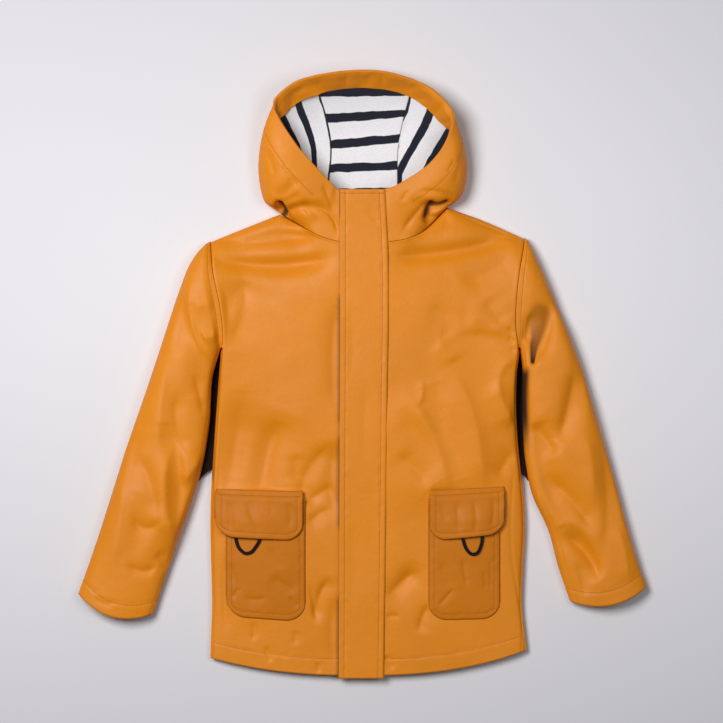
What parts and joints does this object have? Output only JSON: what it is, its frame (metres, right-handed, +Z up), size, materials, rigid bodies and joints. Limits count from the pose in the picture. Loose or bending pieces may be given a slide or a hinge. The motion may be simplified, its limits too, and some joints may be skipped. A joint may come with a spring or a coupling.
{
  "type": "kids raincoat",
  "caption": "Child's hooded raincoat of coated mustard cloth, laid flat on its back, with a striped jersey hood lining, a storm flap over the zip, and patch pockets with flaps and pull loops.",
  "frame": {"origin": "middle of the garment's plan, on the surface that it lies on", "axes": "+X to the wearer's left, +Y from the hem towards the hood, +Z up, out of the coat's front"},
  "size_m": [0.7274, 0.7776, 0.0516],
  "materials": {
    "shell_cloth": "matt waxy coating, mustard",
    "lining_jersey": "soft cotton jersey, white with navy stripes",
    "loop_elastic": "round woven elastic, black"
  },
  "bodies": {
    "root": {"back": "shell_cloth", "front_right": "shell_cloth", "front_left": "shell_cloth", "sleeve_right": "shell_cloth", "sleeve_left": "shell_cloth", "hood_side_right": "shell_cloth", "hood_side_left": "shell_cloth", "hood_centre": "shell_cloth", "hood_facing": "shell_cloth", "hood_lining_right": "lining_jersey", "hood_lining_left": "lining_jersey", "hood_lining_centre": "lining_jersey", "storm_flap": "shell_cloth", "zip": "shell_cloth", "pocket_right": "shell_cloth", "pocket_left": "shell_cloth", "pocket_flap_right": "shell_cloth", "pocket_flap_left": "shell_cloth", "pull_loop_right": "loop_elastic", "pull_loop_left": "loop_elastic"}
  },
  "joints": []
}
